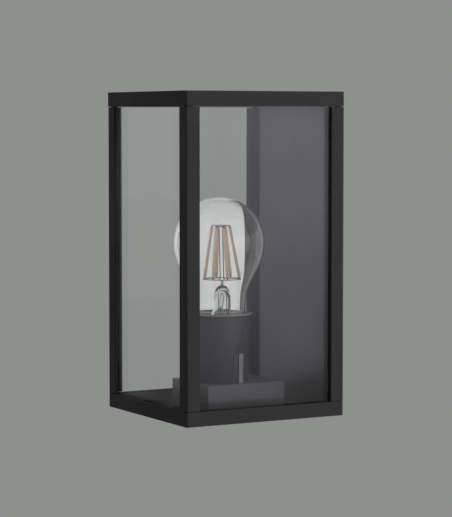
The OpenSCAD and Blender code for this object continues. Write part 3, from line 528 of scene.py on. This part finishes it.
nickel = plating("nickel plate", (0.66, 0.65, 0.62), 0.26)
cap_rim = (cap_high.x - cap_low.x) / 2
thread_top = cap_high.z - 0.005
cap_mesh = bmesh.new()
inner_radius = thread_radius - thread_wave - cap_wall
turned(cap_mesh, [
    (0.0107, cap_low.z), (0.0113, cap_low.z + 0.0002),
    (thread_radius - thread_wave, cap_low.z + 0.0013)]
    + [(thread_radius, z, thread_wave) for z in thread_steps(cap_low.z + 0.0022, thread_top)]
    + [(cap_rim - 0.0003, thread_top + 0.0009), (cap_rim, thread_top + 0.0012),
       (cap_rim, cap_high.z - 0.0002), (cap_rim - 0.00015, cap_high.z),
       (cap_rim - cap_wall, cap_high.z), (cap_rim - cap_wall, thread_top + 0.0014),
       (inner_radius, thread_top), (inner_radius, cap_low.z + 0.0015),
       (0.01045, cap_low.z + 0.0004)], lamp_axis)
place_piece("bulb_cap_shell", cap_mesh, nickel, "bulb", "nickel", "bulb_cap")

solder = plating("tinned solder", (0.62, 0.62, 0.63), 0.35)
solder_mesh = bmesh.new()
turned(solder_mesh, [(0, tip_height)] + [
    (0.0036 * math.sin(a) + 0.0007 * (a > 0), tip_height + 0.0009 * (1 - math.cos(a)))
    for a in [math.radians(d) for d in (20, 40, 60, 80, 90)]]
    + [(0.0044, tip_height + 0.0009), (0.002, tip_height + 0.0009), (0.002, tip_height + 0.0023),
       (0, tip_height + 0.0023)], lamp_axis)
place_piece("bulb_contact_solder", solder_mesh, solder, "bulb_tip", "solder", "bulb_contact")

black_glass = moulding("black glass", (0.012, 0.012, 0.014), 0.12)
dress(black_glass, 0.0001, "bulb_insulator")
board = moulding("green circuit board", (0.03, 0.20, 0.09), 0.3)
dress(board, 0.0001, "bulb_driver")

# ---- Bulb glass ----
# Clear glass blown into a round bulb with a slim neck, which is cemented into the cap. The wall is
# 0.8 mm thick and shows as a bright line along its edges.
bulb_radius = (lamp_high.x - lamp_low.x) / 2
ball_height = lamp_high.z - bulb_radius
glass_wall = 0.0008
neck_radius = 0.018
neck_seat = cap_rim - 0.0007
neck_height = tip_height + 0.0285
swell_height = tip_height + 0.0345


def between_points(a, b, c, d, t):
    """A point of the smooth curve from a to d, pulled towards b and c."""
    return (1 - t) ** 3 * a + 3 * (1 - t) ** 2 * t * b + 3 * (1 - t) * t * t * c + t ** 3 * d


def bulb_outline(inset):
    """From the cap up the neck, out along the swell and over the round top."""
    start, ball = neck_radius + 0.0004 - inset, bulb_radius - inset
    points = [(neck_seat - inset, neck_height - 0.0065), (neck_seat - inset, neck_height - 0.0034),
              (neck_radius - 0.0012 - inset, neck_height - 0.0014),
              (neck_radius - inset, neck_height),
              (neck_radius + 0.0002 - inset, neck_height + 0.003)]
    for i in range(33):
        t = i / 32
        points.append((between_points(start, start, ball, ball, t),
                       between_points(swell_height, swell_height + 0.016, ball_height - 0.018,
                                      ball_height, t)))
    for i in range(1, 36):
        a = math.radians(90 * i / 36)
        points.append((ball * math.cos(a), ball_height + ball * math.sin(a)))
    return points + [(0, ball_height + ball)]


def clear_glass(name, tint, ripple):
    """Clear drawn or blown glass, a little uneven on its surface."""
    finish, shader = start_finish(name, tint, 0.0)
    shader.inputs["Transmission Weight"].default_value = 1.0
    shader.inputs["IOR"].default_value = 1.5
    relief(finish, shader, mottle(finish, 70, 2.0), ripple, 0.5)
    return finish


blown = clear_glass("clear blown glass", (0.99, 0.995, 0.995), 0.00005)
bulb_mesh = bmesh.new()
turned(bulb_mesh, bulb_outline(0) + list(reversed(bulb_outline(glass_wall))), lamp_axis, 128)
place_piece("bulb_glass_blown", bulb_mesh, blown, "bulb", "bulb_glass", "bulb_glass")

# ---- Stem and filaments ----
# A pressed glass stem stands in the neck. Two wires come out of its top, twist once round each
# other and rise to a crown, from which eight phosphor-coated strips lean out to a wire ring. The
# strips are unlit; a faint painted glow of emission lightens their phosphor.
stem_radius = 0.0057
stem_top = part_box("bulb_stem")[1].z
stem_low = neck_height - 0.0055
lean_side = Vector((0.485, 0.875, 0))
lean_low, lean_high = 0.0023, 0.0010
lean_start = stem_low + 0.007
crown_low, crown_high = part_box("filament_crown")
crown_height = (crown_low.z + crown_high.z) / 2


def lean(mesh):
    """Sets a piece of the mount a little off the axis, as the sealed stem holds it."""
    for vert in mesh.verts:
        rise = (vert.co.z - lean_start) / (crown_height - lean_start)
        seat = min(1, max(0, (vert.co.z - stem_low) / (lean_start - stem_low)))
        vert.co += seat * seat * (lean_low + (lean_high - lean_low) * rise) * lean_side
    return mesh


stem_mesh = bmesh.new()
stem_outside = [(neck_seat - glass_wall - 0.0002, stem_low), (0.0098, stem_low + 0.0006),
                (0.008, stem_low + 0.0016), (0.0067, stem_low + 0.0028),
                (stem_radius + 0.0004, stem_low + 0.004), (stem_radius, stem_low + 0.008),
                (stem_radius - 0.0001, stem_top - 0.008)]
stem_inside = [(r - 0.0009, z - 0.0003) for r, z in stem_outside]
dome = 0.007
stem_outside += [(0.0006 + (stem_radius - 0.0008) * math.cos(a), stem_top - dome + dome * math.sin(a))
                 for a in [math.radians(10 * i) for i in range(1, 9)]]
stem_inside += [((stem_radius - 0.0015) * math.cos(a), stem_top - 0.0085 + 0.0052 * math.sin(a))
                for a in [math.radians(15 * i) for i in range(1, 6)]]
turned(stem_mesh, stem_outside + [(0, stem_top), (0, stem_top - 0.0033)]
       + list(reversed(stem_inside)), lamp_axis, 64)
exhaust_radius = 0.0016
turned(stem_mesh, [(exhaust_radius, stem_low), (exhaust_radius, stem_top - 0.006),
                   (exhaust_radius * 0.5, stem_top - 0.0048), (0, stem_top - 0.0045),
                   (0, stem_top - 0.0055), (exhaust_radius - 0.0005, stem_top - 0.0065),
                   (exhaust_radius - 0.0005, stem_low)], lamp_axis, 32)
stem_glass = clear_glass("pressed stem glass", (0.97, 0.98, 0.98), 0.0001)
place_piece("bulb_stem_pressed", lean(stem_mesh), stem_glass, "bulb", "bulb_glass", "bulb_stem")


def drawn_wire(mesh, points, radius, sides=10):
    """Sweeps a round wire along points, with closed ends."""
    rings = []
    across = Vector((1, 0, 0))
    for i, point in enumerate(points):
        along = (points[min(i + 1, len(points) - 1)] - points[max(i - 1, 0)]).normalized()
        across = (across - across.dot(along) * along).normalized()
        other = along.cross(across)
        rings.append([mesh.verts.new(point + radius * (math.cos(2 * math.pi * s / sides) * across
                                                       + math.sin(2 * math.pi * s / sides) * other))
                      for s in range(sides)])
    for low, high in zip(rings, rings[1:]):
        for s in range(sides):
            t = (s + 1) % sides
            mesh.faces.new((low[s], low[t], high[t], high[s]))
    mesh.faces.new(rings[0])
    mesh.faces.new(rings[-1])


ring_low, ring_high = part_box("filament_ring")
crown_radius = 0.0066
ring_height = (ring_low.z + ring_high.z) / 2
ring_radius = 0.0132
wire_gap = 0.0012
mount_turn = math.radians(61)
twist_top = ring_height - 0.0004
wire_metal = plating("nickel wire", (0.17, 0.17, 0.175), 0.22)
wires = bmesh.new()
for side in (mount_turn, mount_turn + math.pi):
    route = []
    for i in range(9):
        z = stem_low + 0.004 + (stem_top - 0.0035 - stem_low - 0.004) * i / 8
        route.append(Vector((0.0028 * math.cos(side), 0.0028 * math.sin(side), z)) + lamp_axis)
    for i in range(1, 25):
        t = i / 24
        turn = side + 2 * math.pi * t
        spread = 0.0010 + 0.0004 * math.cos(2 * math.pi * t)
        route.append(Vector((spread * math.cos(turn), spread * math.sin(turn),
                             stem_top - 0.001 + (twist_top - stem_top + 0.001) * t)) + lamp_axis)
    for z in (ring_height + 0.002, crown_height - 0.001):
        route.append(Vector((wire_gap * math.cos(side), wire_gap * math.sin(side), z)) + lamp_axis)
    drawn_wire(wires, route, 0.00034)
place_piece("bulb_lead_wires", lean(wires), wire_metal, "bulb", "lamp_wire", "bulb_wires")


def wire_hoop(mesh, radius, z, thickness):
    """A closed hoop of round wire."""
    turned(mesh, [(radius + thickness * math.cos(a), z + thickness * math.sin(a))
                  for a in [2 * math.pi * i / 12 for i in range(12)]], lamp_axis, 72)


filament_count = 8
filament_start = math.radians(33.5)
crown = bmesh.new()
wire_hoop(crown, crown_radius - 0.0004, crown_height, 0.00024)
turned(crown, [(0, crown_height - 0.0009), (0.0019, crown_height - 0.0009),
               (0.0022, crown_height - 0.0006), (0.0022, crown_height + 0.0001),
               (0.0019, crown_height + 0.0004), (0, crown_height + 0.0004)], lamp_axis, 32)
for i in range(0, filament_count, 2):
    a = filament_start + 2 * math.pi * i / filament_count
    drawn_wire(crown, [lamp_axis + Vector((r * math.cos(a), r * math.sin(a), crown_height))
                       for r in (0.0018, crown_radius - 0.0004)], 0.00022)
place_piece("filament_crown_wire", lean(crown), nickel, "bulb", "lamp_wire", "filament_crown")
hoop = bmesh.new()
wire_hoop(hoop, ring_radius, ring_height, 0.00028)
for side in (mount_turn, mount_turn + math.pi):
    drawn_wire(hoop, [lamp_axis + Vector((r * math.cos(side), r * math.sin(side), ring_height))
                      for r in (wire_gap - 0.0002, ring_radius)], 0.00024)
place_piece("filament_ring_wire", lean(hoop), wire_metal, "bulb", "lamp_wire", "filament_ring")

strip_width, strip_depth, strip_end = 0.0022, 0.0010, 0.0016
painted_glow = 0.14
phosphor, phosphor_shader = start_finish("phosphor silicone", (0.9, 0.6, 0.38), 0.45)
chips = add(phosphor, "ShaderNodeTexWave", Scale=260.0, Distortion=0.0,
            Vector=add(phosphor, "ShaderNodeTexCoord").outputs["Object"])
chips.bands_direction = "Z"
shade(phosphor, phosphor_shader, chips.outputs["Fac"], (1.0, 0.72, 0.50), (1.0, 0.86, 0.70))
sheen(phosphor, phosphor_shader, mottle(phosphor, 900, 2.0), 0.35, 0.6)
relief(phosphor, phosphor_shader, chips.outputs["Fac"], 0.00006, 0.6)
# Painted light: the unlit phosphor strips are given a faint emitted glow.
phosphor_shader.inputs["Emission Color"].default_value = (1.0, 0.68, 0.50, 1)
phosphor_shader.inputs["Emission Strength"].default_value = painted_glow
phosphor_shader.inputs["Subsurface Weight"].default_value = 0.3
phosphor_shader.inputs["Subsurface Radius"].default_value = (0.0008, 0.0005, 0.0003)
phosphor_shader.inputs["Subsurface Scale"].default_value = 1.0
carrier, carrier_shader = start_finish("filament carrier", (0.3, 0.25, 0.2), 0.4)
joints_along = add(carrier, "ShaderNodeTexWave", Scale=170.0,
                   Vector=add(carrier, "ShaderNodeTexCoord").outputs["Object"])
joints_along.bands_direction = "Z"
shade(carrier, carrier_shader, between(carrier, joints_along.outputs["Fac"], 0.35, 0.6),
      (0.55, 0.45, 0.37), (1.0, 0.88, 0.74))
relief(carrier, carrier_shader, mottle(carrier, 2500, 1.0), 0.00001, 0.4)
strips, carriers, tabs = bmesh.new(), bmesh.new(), bmesh.new()


def strip_between(mesh, top, foot, outwards, width, depth, from_end, to_end):
    """A flat strip with round long edges, along part of the line from top to foot."""
    along = (foot - top).normalized()
    across = along.cross(outwards).normalized()
    face = across.cross(along)
    length = (foot - top).length
    rings = []
    for d, size in ((from_end, 0.6), (from_end + 0.0003, 1.0), (length - to_end - 0.0003, 1.0),
                    (length - to_end, 0.6)):
        rings.append([])
        for i in range(12):
            a = 2 * math.pi * i / 12
            square = 0.5 * size / max(abs(math.cos(a)), abs(math.sin(a))) ** 0.5
            rings[-1].append(mesh.verts.new(top + d * along + square * width * math.cos(a) * across
                                            + square * depth * math.sin(a) * face))
    for low, high in zip(rings, rings[1:]):
        for i in range(12):
            j = (i + 1) % 12
            mesh.faces.new((low[i], low[j], high[j], high[i]))
    mesh.faces.new(rings[0])
    mesh.faces.new(rings[-1])


for i in range(filament_count):
    a = filament_start + 2 * math.pi * i / filament_count
    out = Vector((math.cos(a), math.sin(a), 0))
    top = lamp_axis + crown_radius * out + Vector((0, 0, crown_height))
    foot = lamp_axis + ring_radius * out + Vector((0, 0, ring_height))
    strip_between(strips, top, foot, out, strip_width, strip_depth, strip_end, strip_end)
    strip_between(carriers, top, foot, out, strip_width + 0.0001, 0.0003, strip_end - 0.0004,
                  strip_end - 0.0004)
    strip_between(tabs, top, foot, out, 0.0011, 0.0003, 0, 0)
place_piece("filament_strips", lean(strips), phosphor, "bulb", "phosphor", "filaments")
place_piece("filament_carriers", lean(carriers), carrier, "bulb", "phosphor")
place_piece("filament_tabs", lean(tabs), wire_metal, "bulb", "lamp_wire")
